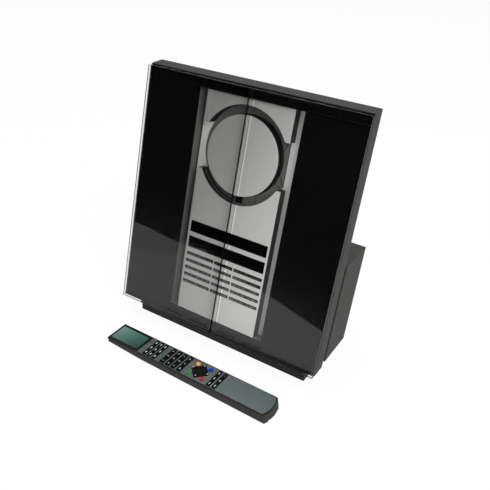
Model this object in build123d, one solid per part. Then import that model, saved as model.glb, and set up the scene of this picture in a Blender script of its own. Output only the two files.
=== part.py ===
"""Upright disc player with two sliding glass doors, and its long remote control.

The player leans back on a wedge-shaped base. Most of it is drawn in the slope's own
axes: x across, u up the slope from the foot of the glass, w out of the glass front.
"""
from build123d import *
from math import cos, pi, radians, sin, tan
import os

# The leaning slab
lean = 13.4
foot_y = -47.62
foot_z = 31.15
glass_width = 323.0
glass_height = 343.3
glass_thickness = 4.0
glass_chamfer = 0.5
door_seam = 0.8
door_gap = 3.5
slab_thickness = 21.0
slab_low = 30.0
slab_high = 365.5
slab_wall = 1.6
slab_back_wall = 2.0
cap_thickness = 2.5
cap_setback = 1.5
loose_fit = 0.2

# Black front moulding, its raised lip and the ledge under the doors
fascia_thickness = 2.0
lip_reach = 2.5
lip_thickness = 3.0
lip_clearance = 0.4
return_wall = 1.5
opening_half = 76.6
opening_low = 17.5
opening_high = 329.5
ledge_low = 0.9
ledge_high = 4.2

# Channel floor and the two raised panel blocks
channel_depth = 15.2
channel_sheet = 1.0
channel_margin = 5.0
panel_half = 63.6
panel_sheet = 1.5
panel_gap = 0.2
upper_low = 287.7
lower_high = 225.5
carrier_wall = 2.0
carrier_front = 1.5
post_half = 3.0

# Disc well and lid
well_u = 256.0
well_radius = 65.2
lid_radius = 52.7
lid_skirt = 2.0
lid_skirt_depth = 6.5
platform_radius = 53.5
platform_wall = 1.5
platform_drop = 0.8
tongue_half = 4.1
tongue_drop = 3.6
slot_half = 3.2
slot_end = 61.5

# Spindle, turntable and the clamp under the lid
disc_seat = 7.5
turntable_radius = 15.5
turntable_thickness = 2.0
cone_radius = 7.3
cone_height = 2.4
clamp_bore = 8.5
clamp_radius = 14.0
shaft_radius = 1.0
running_fit = 0.03
motor_radius = 12.0
motor_depth = 3.6

# Laser unit on its rods
chassis_radius = 51.0
chassis_sheet = 1.0
chassis_lift = 0.3
rod_x = 7.0
rod_radius = 1.0
rod_w = 4.4
rod_start = 1.5
rod_end = 50.4
clamp_length = 2.1
clamp_half = 1.9
sled_half = 9.3
sled_length = 10.0
sled_thickness = 3.0
sled_start = 10.0
nose_length = 12.6
nose_half = 2.7
lens_reach = 15.0
lens_radius = 2.3
lens_height = 3.0
screw_x = 12.5
screw_radius = 1.0
sled_motor_length = 6.0
sled_motor_size = 3.8
bush_radius = 4.0
bush_circle = 40.0

# Display windows and the fifteen keys
window_half = 61.2
window_thickness = 1.4
upper_window_low = 134.5
lower_window_low = 111.6
window_height = 16.4
window_rim = 2.0
key_rows = 5
key_pitch = 10.47
key_top = 104.6
key_height = 4.3
key_centre_half = 14.6
key_outer_start = 17.1
key_outer_end = 61.1
key_proud = 0.5
key_fit = 0.25
key_flange = 0.8
key_flange_thickness = 1.0
key_rest_gap = 0.2
key_stem_radius = 1.5
key_stem_length = 0.8
key_travel = 0.8
switch_height = 0.8
switch_half = 2.5
board_thickness = 1.6

# Door runners, racks and the pinion between them
door_travel = 77.0
pinion_teeth = 10
gear_module = 0.75
gear_addendum = 0.5
gear_dedendum = 0.85
gear_tooth_share = 0.4
gear_flank = 20.0
pinion_drop = 0.5
rack_back = 1.4
rack_overrun = 4.0
runner_clearance = 0.3
shoe_length = 30.0
shoe_height = 4.0
shoe_inner = 8.0
shoe_spacing = 42.0
door_motor_radius = 4.2
door_motor_length = 12.0

# Base, rear cover and what they hold
base_half = 141.7
base_setback = 20.3
base_floor = 1.0
base_wall = 2.5
base_top = 138.0
neck_back = 95.0
cover_half = 148.5
cover_front = 77.5
cover_back = 140.1
cover_top = 144.0
cover_wall = 2.5
cover_fit = 0.3
cover_round = 1.2
feet_half = 9.0
cable_half = 30.0
cable_low = 62.0
cable_high = 82.0
vent_count = 26
vent_pitch = 8.0
vent_width = 3.0
vent_low = 92.0
vent_high = 122.0
bay_half = 70.0
bay_low = 18.0
bay_high = 54.0
bay_margin = 4.0
socket_plate = 2.0
socket_count = 3
socket_pitch = 32.0
socket_first = -52.0
socket_half = 8.0
socket_bore = 6.4
socket_depth = 6.0
socket_length = 12.0
socket_reach = 1.8
inlet_x = 50.0
inlet_width = 24.0
inlet_height = 14.0
inlet_wall = 2.0


# Transformer, amplifier board and heat sink on the base floor
core_x = -85.0
core_length = 54.0
core_depth = 34.0
core_height = 48.0
core_limb = 8.0
winding_depth = 46.0
board_x = 45.0
board_length = 170.0
board_depth = 70.0
board_lift = 8.0
capacitor_count = 2
capacitor_pitch = 30.0
capacitor_radius = 11.0
capacitor_height = 28.0
capacitor_start = -20.0
sink_x = 95.0
sink_length = 50.0
sink_depth = 44.0
sink_height = 28.0
sink_foot = 4.0
sink_fins = 9
sink_fin = 1.6

# Remote control, in its own axes: s along it, t across it, z up
remote_x = -130.18
remote_ahead = 69.87
remote_turn = -1.18
remote_length = 262.6
remote_width = 37.2
remote_low_end = 10.0
remote_high_end = 14.0
remote_chin = 3.0
remote_chin_back = 62.0
remote_end_bulge = 4.5
remote_end_flare = 3.0
remote_wall = 1.6
remote_rim = 0.9
remote_sheet = 1.0
remote_ledge = 1.2
remote_floor = 2.0
screen_start = 1.2
screen_gap = 8.6
key_band_margin = 1.0
upper_rows = 3
upper_block_gap = 8.0
upper_row_pitch = 8.0
upper_row_width = 5.8
lower_rows = 4
lower_block_gap = 21.8
lower_row_pitch = 9.7
lower_row_width = 7.6
base_rows = 2
base_block_gap = 7.1
base_row_pitch = 8.9
base_row_width = 6.4
row_keys = 3
remote_key_gap = 0.8
remote_key_proud = 0.6
remote_key_fit = 0.25
remote_key_travel = 0.5
mat_thickness = 0.8
mat_gap = 0.2
pad_gap = 20.7
pad_reach = 14.2
pad_waist = 8.6
colour_reach = 18.6
colour_start = 11.2
colour_half = 3.0
battery_door_length = 67.6
battery_door_overhang = 2.0
battery_door_half = 12.0
battery_door_thickness = 0.9
battery_door_gap = 0.2
battery_bay = 50.0
battery_bay_edge = 2.0
battery_radius = 5.25
battery_length = 44.5

# Planes that follow from the sizes above
front_w = -glass_thickness - door_gap
fascia_back = front_w - fascia_thickness
slab_back = front_w - slab_thickness
slab_inside = slab_back + slab_back_wall
floor_w = front_w - channel_depth
panel_back = front_w - panel_sheet
carrier_face = panel_back - carrier_front
seat_w = front_w - disc_seat
platform_w = seat_w - platform_drop
chassis_w = floor_w + chassis_lift + chassis_sheet
rods_w = seat_w - rod_w
runner_back = front_w + runner_clearance
half_width = glass_width / 2
base_front = foot_y + base_setback
remote_y = foot_y - remote_ahead
cap_low = slab_high - cap_thickness
key_back = carrier_face - key_rest_gap - key_flange_thickness
switch_top = key_back - key_stem_length - key_travel - 0.1
board_w = switch_top - switch_height
pinion_radius = gear_module * pinion_teeth / 2
pinion_u = (opening_high + glass_height) / 2 - pinion_drop
tilt = radians(lean)
remote_slope = (remote_high_end - remote_low_end) / remote_length
battery_door_start = remote_length - battery_door_length
battery_middle = battery_door_start + battery_bay_edge + battery_bay / 2
base_row_start = (battery_door_start - base_block_gap - base_row_width
                  - (base_rows - 1) * base_row_pitch)
pad_centre = base_row_start - pad_gap
lower_row_start = (pad_centre - lower_block_gap - lower_row_width
                   - (lower_rows - 1) * lower_row_pitch)
upper_row_start = (lower_row_start - upper_block_gap - upper_row_width
                   - (upper_rows - 1) * upper_row_pitch)
screen_end = upper_row_start - screen_gap

slope = Plane(origin=(0, foot_y, foot_z), x_dir=(1, 0, 0), z_dir=(0, -cos(tilt), sin(tilt)))


def on_slope(shape):
    """Carry a shape from the slope's axes to the table's."""
    return slope.location * shape


def area(left, right, low, high):
    """Rectangle between two x and two u."""
    return Pos((left + right) / 2, (low + high) / 2) * Rectangle(right - left, high - low)


def sheet(sketch, front, back):
    """Thickness of a sketch between two w."""
    return extrude(Pos(0, 0, back) * sketch, amount=front - back)


def height_to_u(height, w):
    """Place up the slope where the plane at w crosses a height."""
    return (height - foot_z - w * sin(tilt)) / cos(tilt)


def at(w, height):
    """Depth and height of the point where the plane at w crosses a height."""
    return foot_y + (-w + (height - foot_z) * sin(tilt)) / cos(tilt), height


def prism(points, half):
    """Side profile carried half to each side of the middle."""
    line = Polyline(*[(0, first, second) for first, second in points], close=True)
    return extrude(make_face(line.edges()), amount=half, dir=(1, 0, 0), both=True)


def turned(points):
    """Solid of revolution about the middle of the disc well, from radius and w."""
    line = Polyline(*[(radius, 0, w) for radius, w in points], close=True)
    return Pos(0, well_u, 0) * revolve(make_face(line.edges()), Axis.Z)


def disc(radius, front, back, x=0, u=well_u):
    """Round plate or pin between two w."""
    return Pos(x, u, (front + back) / 2) * Cylinder(radius, front - back)


def stud(half, front, back, x, u):
    """Square post or block between two w."""
    return sheet(area(x - half, x + half, u - half, u + half), front, back)


# Slab

def body_shell():
    """Tray behind the front: side walls, horizontal bottom and the leaning back."""
    outer = prism([at(front_w, slab_low), at(slab_back, slab_low),
                   at(slab_back, cap_low), at(front_w - cap_setback, cap_low),
                   at(front_w, cap_low)], half_width)
    inner = prism([at(front_w + 1, slab_low + slab_wall), at(slab_inside, slab_low + slab_wall),
                   at(slab_inside, slab_high), at(front_w + 1, slab_high)],
                  half_width - slab_wall)
    return outer - inner - cable_hole(slab_inside + 1, slab_back - 1)


def cable_hole(front, back):
    """Way for the wiring from the slab to the base."""
    return prism([at(front, cable_low), at(back, cable_low),
                  at(back, cable_high), at(front, cable_high)], cable_half)


def top_cap():
    """Flat strip over the slab, set back from the lip by a fine groove."""
    cap = prism([at(front_w - cap_setback, cap_low), at(slab_back, cap_low),
                 at(slab_back, slab_high), at(front_w - cap_setback, slab_high)], half_width)
    return chamfer(cap.faces().sort_by(Axis.Z)[-1].edges(), 0.4)


def fascia():
    """Black front with the lip over the glass, the door ledge and the channel's walls."""
    lip_front = front_w + lip_reach
    lip_back = lip_front - lip_thickness
    lip_foot = glass_height + lip_clearance
    plate = prism([(height_to_u(slab_low + slab_wall + loose_fit, fascia_back), fascia_back),
                   (height_to_u(slab_low + slab_wall + loose_fit, front_w), front_w),
                   (lip_foot - 1.3, front_w), (lip_foot, lip_front),
                   (height_to_u(slab_high, lip_front), lip_front),
                   (height_to_u(slab_high, lip_back), lip_back),
                   (lip_foot - 0.5, lip_back), (lip_foot - 0.5, fascia_back)],
                  half_width - slab_wall - loose_fit)
    reach = half_width - slab_wall - loose_fit
    ledge = sheet(area(-reach, reach, height_to_u(slab_low + slab_wall + loose_fit, front_w),
                       ledge_high), -glass_thickness - runner_clearance, front_w)
    opening = area(-opening_half, opening_half, opening_low, opening_high)
    outside = area(-opening_half - return_wall, opening_half + return_wall,
                   opening_low - return_wall, opening_high + return_wall)
    returns = sheet(outside, fascia_back, floor_w)
    shape = plate + ledge + returns - sheet(opening, 0, floor_w - 1)
    return shape - disc(shaft_radius + running_fit, 0, floor_w, 0, pinion_u)


def channel_plate():
    """Silver floor of the channel on four spacers, open under the disc drive and its slot."""
    reach = opening_half + channel_margin
    flat = area(-reach, reach, opening_low - channel_margin, opening_high + return_wall)
    flat -= Pos(0, well_u) * Circle(chassis_radius - 1)
    flat -= area(-slot_half, slot_half, well_u - slot_end, well_u)
    plate = sheet(flat, floor_w, floor_w - channel_sheet)
    for x in (-1, 1):
        for u in (opening_low + 10, opening_high - 10):
            plate += stud(post_half, floor_w - channel_sheet, slab_inside,
                          x * (opening_half - 4), u)
    return plate


# Panel blocks

def block_outline(low, high):
    """Panel block with the round bite of the disc well."""
    return area(-panel_half, panel_half, low, high) - Pos(0, well_u) * Circle(well_radius)


def upper_outline():
    """Block over the disc well."""
    return block_outline(upper_low, opening_high - panel_gap)


def lower_outline():
    """Block under the disc well."""
    return block_outline(opening_low + panel_gap, lower_high)


def carrier(outline):
    """Black walls and front plate behind a panel, open at the back."""
    hollow = offset(outline, -carrier_wall)
    return sheet(outline, panel_back, floor_w) - sheet(hollow, carrier_face, floor_w - 1)


def key_spans():
    """Left and right edge of each key in a row, from the left."""
    return [("left", -key_outer_end, -key_outer_start),
            ("middle", -key_centre_half, key_centre_half),
            ("right", key_outer_start, key_outer_end)]


def key_row_low(row):
    """Lower edge of a key row, counted from the top."""
    return key_top - key_height - row * key_pitch


def key_slots():
    """Outlines of all key slots, with the keys' running clearance."""
    slots = Sketch()
    for row in range(key_rows):
        low = key_row_low(row)
        for name, left, right in key_spans():
            slots += area(left - key_fit, right + key_fit, low - key_fit, low + key_height + key_fit)
    return slots


def window_outline(low, margin):
    """Display window, drawn in by a margin."""
    return area(-window_half + margin, window_half - margin, low + margin,
                low + window_height - margin)


def lower_panel():
    """Aluminium front with both display windows and the key slots."""
    front = lower_outline() - key_slots()
    for low in (upper_window_low, lower_window_low):
        front -= window_outline(low, -panel_gap / 2)
    return sheet(front, front_w, panel_back)


def lower_carrier():
    """Carrier with windows behind the displays, key slots and posts for the board."""
    shape = carrier(lower_outline()) - sheet(key_slots(), panel_back, carrier_face)
    for low in (upper_window_low, lower_window_low):
        shape -= sheet(window_outline(low, window_rim), panel_back, carrier_face)
    for x, u in board_posts():
        shape += stud(post_half, carrier_face, board_w, x, u)
    return shape


def board_posts():
    """Middles of the posts that the control board is screwed to."""
    low = opening_low + panel_gap + carrier_wall + post_half
    high = upper_window_low + window_height + 2 * post_half
    side = panel_half - carrier_wall - post_half
    return [(x, u) for x in (-side, side) for u in (low, high)]


def display_windows():
    """Two smoked windows seated on the carrier."""
    return [sheet(window_outline(low, 0), panel_back + window_thickness, panel_back)
            for low in (upper_window_low, lower_window_low)]


def control_board():
    """Board with the two displays and a flat switch under each key."""
    posts = board_posts()
    side = panel_half - carrier_wall - loose_fit
    board = sheet(area(-side, side, posts[0][1] - post_half, posts[1][1] + post_half),
                  board_w, board_w - board_thickness)
    for low in (upper_window_low, lower_window_low):
        board += sheet(window_outline(low, window_rim + loose_fit), carrier_face, board_w)
    for row in range(key_rows):
        for name, left, right in key_spans():
            board += stud(switch_half, switch_top, board_w, (left + right) / 2,
                          key_row_low(row) + key_height / 2)
    return board


def key(left, right, low):
    """Bar key with its flange behind the front and a stem over its switch."""
    cap = sheet(area(left, right, low, low + key_height), front_w + key_proud, key_back)
    cap = chamfer(cap.faces().sort_by(Axis.Z)[-1].edges(), 0.25)
    flange = sheet(area(left, right, low - key_flange, low + key_height + key_flange),
                   key_back + key_flange_thickness, key_back)
    stem = disc(key_stem_radius, key_back, key_back - key_stem_length,
                (left + right) / 2, low + key_height / 2)
    return cap + flange + stem


# Disc drive

def lid_body():
    """Black cup under the lid, with the clamp boss that sits on the turntable."""
    cup_radius = lid_radius - loose_fit
    roof = panel_back - lid_skirt
    return turned([(clamp_bore, panel_back), (cup_radius, panel_back),
                   (cup_radius, front_w - lid_skirt_depth),
                   (cup_radius - lid_skirt, front_w - lid_skirt_depth),
                   (cup_radius - lid_skirt, roof), (clamp_radius, roof),
                   (clamp_radius, seat_w), (clamp_bore, seat_w)])


def lid_face():
    """Brushed aluminium disc in front of the drive."""
    plate = disc(lid_radius, front_w, panel_back)
    return chamfer(plate.faces().sort_by(Axis.Z)[-1].edges(), 0.3)


def turntable():
    """Hub with a centring cone on the spindle shaft."""
    back = seat_w - turntable_thickness
    hub = turned([(0, back), (turntable_radius, back), (turntable_radius, seat_w),
                  (cone_radius, seat_w), (cone_radius * 0.7, seat_w + cone_height),
                  (0, seat_w + cone_height)])
    return hub + disc(shaft_radius, back, chassis_w - chassis_sheet - motor_depth * 0.7)


def spindle_motor():
    """Flat motor behind the chassis, with the bore for the spindle shaft."""
    front = chassis_w - chassis_sheet
    bore = disc(shaft_radius + running_fit, front, front - motor_depth * 0.75)
    return disc(motor_radius, front, front - motor_depth) - bore


def disc_platform():
    """Round platform under the lid, with the laser slot running down to the well's edge."""
    outer = turned([(turntable_radius + 1, platform_w), (platform_radius, platform_w),
                    (platform_radius, floor_w), (platform_radius - platform_wall, floor_w),
                    (platform_radius - platform_wall, platform_w - platform_wall),
                    (turntable_radius + 1, platform_w - platform_wall)])
    tongue = sheet(area(-tongue_half, tongue_half, well_u - well_radius + panel_gap,
                        well_u - platform_radius + 1), seat_w - tongue_drop, floor_w)
    slot = sheet(area(-slot_half, slot_half, well_u - slot_end,
                      well_u - turntable_radius - 3), seat_w, floor_w)
    return outer + tongue - slot


def drive_chassis():
    """Steel plate of the drive with clamps for the rods and the screw's bearing."""
    plate = disc(chassis_radius, chassis_w, chassis_w - chassis_sheet)
    plate -= disc(shaft_radius * 4, chassis_w, chassis_w - chassis_sheet)
    height = rods_w + rod_radius + 0.3
    for side in (-1, 1):
        for start in (rod_start, rod_end - clamp_length):
            plate += sheet(area(side * rod_x - clamp_half, side * rod_x + clamp_half,
                                well_u - start - clamp_length, well_u - start),
                           height, chassis_w)
        plate -= way_between(rod_radius + running_fit, side * rod_x, rod_start - 1, rod_end + 1)
    bearing = sheet(area(-screw_x - clamp_half, -screw_x + clamp_half,
                         well_u - rod_start - clamp_length, well_u - rod_start),
                    height, chassis_w)
    return plate + bearing - way_between(screw_radius + running_fit, -screw_x,
                                         rod_start - 1, rod_start + clamp_length + 1)


def rod_between(radius, x, start, end):
    """Round bar down the slope from the middle of the well, between two distances."""
    return Pos(x, well_u - (start + end) / 2, rods_w) * Rot(90, 0, 0) * Cylinder(radius, end - start)


def way_between(half, x, start, end):
    """Square hole down the slope for a bar, between two distances."""
    return sheet(area(x - half, x + half, well_u - end, well_u - start), rods_w + half, rods_w - half)


def guide_rods():
    """Pair of ground rods that the laser unit slides on."""
    return [rod_between(rod_radius, side * rod_x, rod_start, rod_end) for side in (-1, 1)]


def laser_sled():
    """Carriage with its nose, lens barrel and half nut."""
    front = rods_w + sled_thickness / 2
    back = rods_w - sled_thickness / 2
    inner = well_u - sled_start + sled_length / 2
    outer = inner - sled_length
    body = sheet(area(-sled_half, sled_half, outer, inner), front, back)
    nose = sheet(area(-nose_half, nose_half, outer - nose_length, outer + 1), rods_w, back)
    lens = disc(lens_radius, rods_w + lens_height, rods_w, 0, well_u - sled_start - lens_reach)
    nut = sheet(area(-screw_x + screw_radius + 0.2, -sled_half + 1, inner - 4, inner - 1),
                rods_w + 0.6, rods_w - 0.6)
    body += nose + lens + nut
    for side in (-1, 1):
        body -= rod_between(rod_radius + running_fit, side * rod_x, 0, rod_end)
    return body


def sled_screw():
    """Lead screw beside the rods."""
    return rod_between(screw_radius, -screw_x, rod_start + 0.2, screw_end() + 2)


def screw_end():
    """Distance down the slope where the screw enters its motor."""
    return rod_end - sled_motor_length - 1.4


def sled_motor():
    """Small motor at the far end of the screw."""
    size = sled_motor_size / 2
    body = sheet(area(-screw_x - size, -screw_x + size, well_u - screw_end() - sled_motor_length,
                      well_u - screw_end()), rods_w + size, chassis_w)
    return body - rod_between(screw_radius + running_fit, -screw_x, screw_end() - 1, screw_end() + 2.5)


def suspension_bushes():
    """Rubber bushes between the chassis and the slab's back."""
    places = [(bush_circle * cos(radians(a)), well_u + bush_circle * sin(radians(a)))
              for a in (40, 140, 270)]
    return [disc(bush_radius, chassis_w - chassis_sheet, slab_inside, x, u) for x, u in places]


# Doors

def glass_door(side):
    """One pane, from the seam to the outer edge."""
    edges = sorted((side * door_seam / 2, side * half_width))
    pane = sheet(area(edges[0], edges[1], 0, glass_height), 0, -glass_thickness)
    return chamfer(pane.edges(), glass_chamfer)


def rack_teeth(first, last, pitch_line, sense):
    """Row of rack teeth between two x, pointing against the sense of u."""
    pitch = pi * gear_module
    count_low = round(first / pitch)
    count_high = round(last / pitch)
    middle = pitch * gear_tooth_share / 2
    slant = tan(radians(gear_flank))
    teeth = Sketch()
    for number in range(count_low, count_high + 1):
        centre = number * pitch
        tip = middle - gear_addendum * slant
        root = middle + gear_dedendum * slant
        tip_u = pitch_line - sense * gear_addendum
        root_u = pitch_line + sense * (gear_dedendum + 0.05)
        teeth += make_face(Polyline((centre - root, root_u), (centre - tip, tip_u),
                                    (centre + tip, tip_u), (centre + root, root_u),
                                    close=True).edges())
    return teeth


def door_runners(side):
    """Rack rail and two shoes behind one pane; the left rail runs over the pinion."""
    sense = -side
    pitch_line = pinion_u + sense * pinion_radius
    root = pitch_line + sense * gear_dedendum
    low, high = sorted((root, root + sense * rack_back))
    own = sorted((side * 1.0, side * (half_width - 3)))
    far = sorted((side * rack_overrun, -side * (door_travel + rack_overrun)))
    bar = sheet(area(own[0], own[1], low, high), -glass_thickness, runner_back)
    front = -glass_thickness - runner_clearance
    tongue = area(far[0], far[1], low, high) + rack_teeth(far[0], far[1], pitch_line, sense)
    rail = bar + sheet(tongue, front, runner_back)
    shoes = []
    for number in range(2):
        inner = shoe_inner + number * shoe_spacing
        span = sorted((side * inner, side * (inner + shoe_length)))
        foot = ledge_high + runner_clearance
        shoes.append(sheet(area(span[0], span[1], foot, foot + shoe_height),
                           -glass_thickness, runner_back))
    return [rail] + shoes


def drive_pinion():
    """Pinion between the two racks, on the motor's shaft."""
    step = 2 * pi / pinion_teeth
    half_pitch = gear_tooth_share * step / 2
    slant = tan(radians(gear_flank)) / pinion_radius
    points = []
    for number in range(pinion_teeth):
        for turn, radius in ((-half_pitch - gear_dedendum * slant, pinion_radius - gear_dedendum),
                             (-half_pitch + gear_addendum * slant, pinion_radius + gear_addendum),
                             (half_pitch - gear_addendum * slant, pinion_radius + gear_addendum),
                             (half_pitch + gear_dedendum * slant, pinion_radius - gear_dedendum)):
            angle = number * step + turn
            points.append((radius * cos(angle), radius * sin(angle)))
    wheel = Pos(0, pinion_u) * make_face(Polyline(*points, close=True).edges())
    front = -glass_thickness - runner_clearance
    shaft = disc(shaft_radius, runner_back, fascia_back - door_motor_length * 0.4, 0, pinion_u)
    return sheet(wheel, front, runner_back) + shaft


def door_motor():
    """Geared motor behind the front, with the bore for the pinion's shaft."""
    body = disc(door_motor_radius, fascia_back, fascia_back - door_motor_length, 0, pinion_u)
    return body - disc(shaft_radius + running_fit, fascia_back,
                       fascia_back - door_motor_length * 0.45, 0, pinion_u)


# Base and rear

def base_frame():
    """Black base: plinth under the slab, neck behind it and the floor to the back."""
    neck = -neck_back
    outer = prism([(base_front, base_floor), (base_front, slab_low), at(slab_back, slab_low),
                   at(slab_back, base_top), at(neck, base_top), at(neck, base_floor)], base_half)
    wall = base_wall
    inner = prism([(base_front + wall, base_floor + wall), (base_front + wall, slab_low - wall),
                   at(slab_back - wall, slab_low - wall), at(slab_back - wall, base_top - wall),
                   at(neck - 1, base_top - wall), at(neck - 1, base_floor + wall)],
                  base_half - wall)
    floor_back = -cover_back + cover_wall + cover_fit
    floor = prism([at(neck + 1, base_floor), at(neck + 1, base_floor + wall),
                   at(floor_back, base_floor + wall), at(floor_back, base_floor)], base_half)
    return outer - inner + floor - cable_hole(slab_back + 1, slab_back - wall - 1)


def foot_places():
    """Middles of the four feet."""
    back = at(-cover_back, base_floor)[0] - 2 * feet_half
    front = base_front + 2 * feet_half
    return [(x, y) for x in (-base_half + 20, base_half - 20) for y in (front, back)]


def rubber_feet():
    """Four pads under the base."""
    side = 2 * feet_half
    return [Pos(x, y, base_floor / 2) * Box(side, side, base_floor) for x, y in foot_places()]


def bay_outline(margin):
    """Socket bay in the rear cover, widened by a margin."""
    return area(-bay_half - margin, bay_half + margin, bay_low - margin, bay_high + margin)


def rear_cover():
    """Cover behind the slab, with vents and the socket bay in its leaning back."""
    outer = prism([at(-cover_front, base_floor), at(-cover_front, cover_top),
                   at(-cover_back, cover_top), at(-cover_back, base_floor)], cover_half)
    outer = fillet(outer.faces().sort_by(Axis.Z)[-1].edges(), cover_round)
    wall = cover_wall
    inner = prism([at(-cover_front - wall, base_floor - 1),
                   at(-cover_front - wall, cover_top - wall),
                   at(-cover_back + wall, cover_top - wall),
                   at(-cover_back + wall, base_floor - 1)], cover_half - wall)
    mouth = prism([at(-cover_front + 1, base_floor - 1), at(-cover_front + 1, base_top + cover_fit),
                   at(-cover_front - wall - 1, base_top + cover_fit),
                   at(-cover_front - wall - 1, base_floor - 1)], base_half + cover_fit)
    vents = Sketch()
    for number in range(vent_count):
        x = (number - (vent_count - 1) / 2) * vent_pitch
        vents += area(x - vent_width / 2, x + vent_width / 2, vent_low, vent_high)
    cuts = on_slope(sheet(vents + bay_outline(0), -cover_back + wall + 1, -cover_back - 1))
    return outer - inner - mouth - cuts


def link_socket(x, u):
    """Square link socket with its round bore facing back."""
    tip = -cover_back + cover_wall - socket_reach
    body = stud(socket_half, tip + socket_length, tip, x, u)
    return body - disc(socket_bore, tip + socket_depth, tip, x, u)


def rear_sockets():
    """Plate behind the bay with three link sockets and the mains inlet."""
    seat = -cover_back + cover_wall
    plate = bay_outline(bay_margin)
    middle = (bay_low + bay_high) / 2
    tip = seat - socket_reach
    holes = Sketch()
    bodies = []
    for number in range(socket_count):
        x = socket_first + number * socket_pitch
        holes += area(x - socket_half, x + socket_half, middle - socket_half, middle + socket_half)
        bodies.append(link_socket(x, middle))
    rim = Pos(inlet_x, middle) * RectangleRounded(inlet_width, inlet_height, 3)
    cup = offset(rim, -inlet_wall)
    inlet = sheet(rim, tip + socket_length, tip) - sheet(cup, tip + socket_depth + 2, tip)
    return [sheet(plate - holes - rim, seat + socket_plate, seat)] + bodies + [inlet]


def inside_middle():
    """Depth of the middle of the base floor."""
    return (base_front + at(-cover_back, base_floor)[0]) / 2


def mains_transformer():
    """Laminated core with its winding, on the base floor."""
    middle = Pos(core_x, inside_middle(), base_floor + base_wall + core_height / 2)
    hole_length = core_length - 2 * core_limb
    hole_height = core_height - 2 * core_limb
    core = Box(core_length, core_depth, core_height) - Box(hole_length, core_depth, hole_height)
    core += Box(2 * core_limb, core_depth, hole_height)
    winding = Box(hole_length, winding_depth, hole_height)
    return middle * (core + fillet(winding.edges().filter_by(Axis.Z), core_limb / 2))


def board_top():
    """Height of the amplifier board's upper face."""
    return base_floor + base_wall + board_lift + board_thickness


def main_board():
    """Amplifier board on posts, with its reservoir capacitors."""
    y = inside_middle()
    board = Pos(board_x, y, board_top() - board_thickness / 2) * Box(
        board_length, board_depth, board_thickness)
    for x in (-1, 1):
        for side in (-1, 1):
            board += Pos(board_x + x * (board_length / 2 - 5), y + side * (board_depth / 2 - 5),
                         base_floor + base_wall + board_lift / 2) * Box(
                             2 * post_half, 2 * post_half, board_lift)
    for number in range(capacitor_count):
        x = capacitor_start + number * capacitor_pitch
        board += Pos(x, y + board_depth / 4, board_top() + capacitor_height / 2) * Cylinder(
            capacitor_radius, capacitor_height)
    return board


def heat_sink():
    """Finned extrusion standing on the board."""
    y = inside_middle()
    sink = Pos(sink_x, y, board_top() + sink_foot / 2) * Box(sink_length, sink_depth, sink_foot)
    step = (sink_length - sink_fin) / (sink_fins - 1)
    for number in range(sink_fins):
        x = sink_x - sink_length / 2 + sink_fin / 2 + number * step
        sink += Pos(x, y, board_top() + sink_foot + sink_height / 2) * Box(
            sink_fin, sink_depth, sink_height)
    return sink


# Remote control

def remote_place(shape):
    """Carry a shape from the remote's axes to the table."""
    return Pos(remote_x, remote_y, 0) * Rot(0, 0, remote_turn) * shape


def remote_top(s):
    """Height of the remote's top face at a distance along it."""
    return remote_low_end + remote_slope * s


def remote_plan(inset, flare):
    """Plan of the remote with its bowed far end, drawn in by an inset."""
    end = remote_length + flare - inset
    low = inset
    high = remote_width - inset
    middle = (end + remote_end_bulge, remote_width / 2)
    outline = Polyline((end, high), (inset, high), (inset, low), (end, low)).edges()
    return make_face(outline + ThreePointArc((end, low), middle, (end, high)).edges())


def remote_profile(points):
    """Side profile in s and z carried across the remote."""
    line = Polyline(*[(s, 0, z) for s, z in points], close=True)
    return extrude(make_face(line.edges()), amount=-remote_width - 2, dir=(0, -1, 0))


def remote_layer(sketch, top, bottom):
    """Layer of a plan between two depths below the sloping top face."""
    far = remote_length + 20
    block = extrude(sketch, amount=remote_high_end + 10)
    band = remote_profile([(-1, remote_top(-1) - bottom), (-1, remote_top(-1) - top),
                           (far, remote_top(far) - top), (far, remote_top(far) - bottom)])
    return block & (Pos(0, -1, 0) * band)


def remote_case():
    """Case with a thin screen end, a bowed far end, and the seat for the top plate."""
    height = remote_high_end + 2
    body = loft([remote_plan(0, remote_end_flare), Pos(0, 0, height) * remote_plan(0, 0)], ruled=True)
    far = remote_length + 20
    side = remote_profile([(2, remote_chin), (0, remote_top(0) - 1), (0, remote_top(0)),
                           (far, remote_top(far)), (far, 0), (remote_chin_back, 0)])
    body &= Pos(0, -1, 0) * side
    seat = remote_layer(remote_plan(remote_rim, 0), -1, remote_sheet)
    floor = remote_wall + remote_chin
    room = extrude(remote_plan(remote_rim + remote_ledge, 0), amount=height)
    depth = remote_profile([(1, floor), (1, height), (far, height), (far, remote_floor),
                            (remote_chin_back + 4, remote_floor)])
    body -= seat
    body -= room & (Pos(0, -1, 0) * depth)
    return body - battery_way()


def battery_way():
    """Opening for the cells through the floor, and the door's groove out of the far end."""
    middle = remote_width / 2
    half = battery_door_half + battery_door_gap
    groove_top = battery_door_thickness + 2 * battery_door_gap
    reach = battery_door_length + remote_end_flare + remote_end_bulge + 1
    groove = Pos(battery_door_start + reach / 2, middle, 0) * Box(reach, 2 * half, 2 * groove_top)
    bay = Pos(battery_middle, middle, 0) * Box(battery_bay, 2 * half - 1, 2 * remote_floor + 1)
    return groove + bay


def remote_rows(start, pitch, width, rows, margin):
    """Openings of a block of key rows in the top plate."""
    low = remote_rim + key_band_margin - margin
    bands = Sketch()
    for row in range(rows):
        s = start + row * pitch
        bands += area(s - margin, s + width + margin, low, remote_width - low)
    return bands


def remote_key_blocks():
    """Start, pitch, width and number of rows of the three key blocks."""
    return [(upper_row_start, upper_row_pitch, upper_row_width, upper_rows),
            (lower_row_start, lower_row_pitch, lower_row_width, lower_rows),
            (base_row_start, base_row_pitch, base_row_width, base_rows)]


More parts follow.
